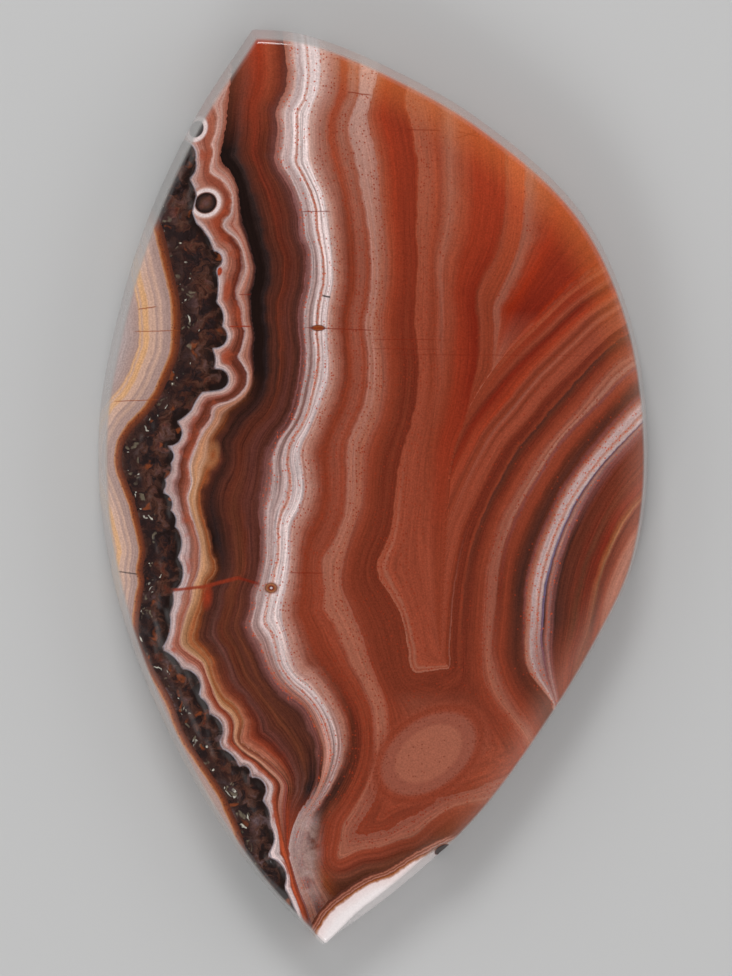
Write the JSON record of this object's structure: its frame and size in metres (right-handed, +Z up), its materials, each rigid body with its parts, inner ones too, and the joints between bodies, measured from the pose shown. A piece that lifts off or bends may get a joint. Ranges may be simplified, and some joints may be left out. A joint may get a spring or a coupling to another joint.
{
  "type": "banded agate cabochon",
  "caption": "Freeform leaf-shaped cabochon of banded red agate: a low domed, polished face, a steep side wall and a flat back that it lies on.",
  "frame": {"origin": "on the flat back, under the middle of the stone's outline", "axes": "+X across the stone to the side of the long red bands, +Y from the lower tip to the upper tip, +Z up through the domed face"},
  "size_m": [0.0276, 0.0458, 0.0057],
  "materials": {
    "agate": "mirror-polished banded agate in brick red, orange, dusty pink and white, with a dark brown vein of small crystals and mauve bands at the left edge"
  },
  "bodies": {
    "root": {"cabochon": "agate"}
  },
  "joints": []
}
